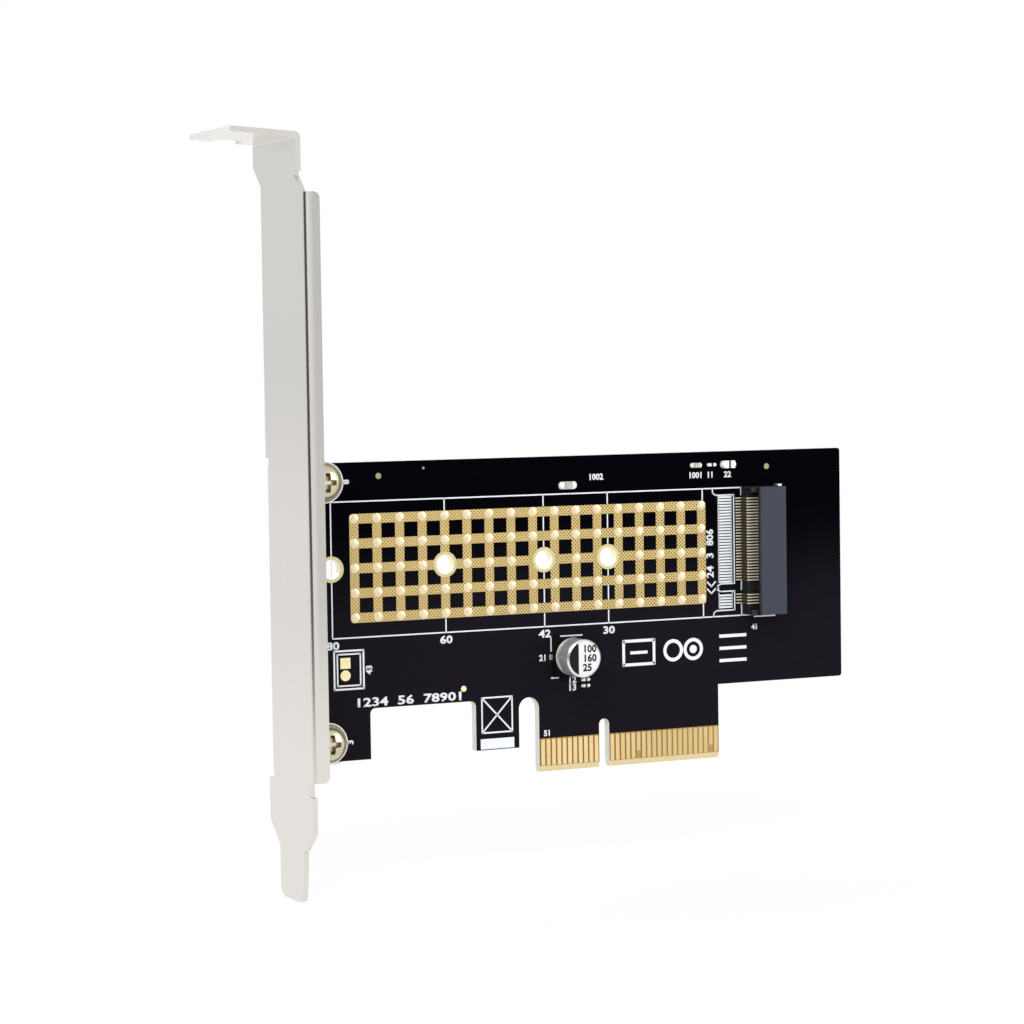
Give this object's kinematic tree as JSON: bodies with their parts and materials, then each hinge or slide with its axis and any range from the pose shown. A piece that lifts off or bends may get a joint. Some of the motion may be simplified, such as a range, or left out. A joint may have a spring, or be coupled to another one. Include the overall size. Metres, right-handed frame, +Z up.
{
  "type": "nvme adapter card",
  "caption": "Expansion-slot card with a folded mounting bracket and an edge connector, carrying one M.2 module socket.",
  "frame": {"origin": "middle of the board's thickness, on the centre line of the key notch, at the lower edge of the card-edge contact tab", "axes": "+X from the mounting bracket towards the card's free end, +Z up out of the slot, components on the -Y side of the board"},
  "size_m": [0.1163, 0.0216, 0.1207],
  "materials": {
    "board": "black solder mask over glass-fibre laminate",
    "bracket_steel": "satin nickel plate",
    "gold": "gold plate on copper foil",
    "contact_metal": "gold-plated spring alloy",
    "solder_metal": "tinned metal",
    "screw_steel": "nickel plate",
    "socket_plastic": "moulded glass-filled nylon",
    "can_aluminium": "satin",
    "seat_plastic": "moulded",
    "chip_black": "fired glaze",
    "chip_brown": "fired ceramic",
    "lamp_base": "white laminate",
    "lamp_lens": "clear cast resin"
  },
  "bodies": {
    "root": {"pcb": "board", "bracket": "bracket_steel", "front_heat_lattice": "gold", "back_heat_lattice": "gold", "edge_contacts_front": "gold", "edge_contacts_back": "gold", "standoff_eyelets": "gold", "header_eyelets": "gold", "screw_upper": "screw_steel", "screw_lower": "screw_steel", "socket_housing": "socket_plastic", "socket_lower_contacts": "contact_metal", "socket_upper_contacts": "contact_metal", "socket_anchor_tabs": "solder_metal", "capacitor_can": "can_aluminium", "capacitor_base": "seat_plastic", "capacitor_leads": "solder_metal", "led_1_body": "lamp_base", "led_1_terminals": "solder_metal", "led_1_lens": "lamp_lens", "led_2_body": "lamp_base", "led_2_terminals": "solder_metal", "led_2_lens": "lamp_lens", "resistor_1_body": "chip_black", "resistor_1_terminals": "solder_metal", "resistor_2_body": "chip_black", "resistor_2_terminals": "solder_metal", "resistor_3_body": "chip_black", "resistor_3_terminals": "solder_metal", "ceramic_capacitor_body": "chip_brown", "ceramic_capacitor_terminals": "solder_metal"}
  },
  "joints": []
}
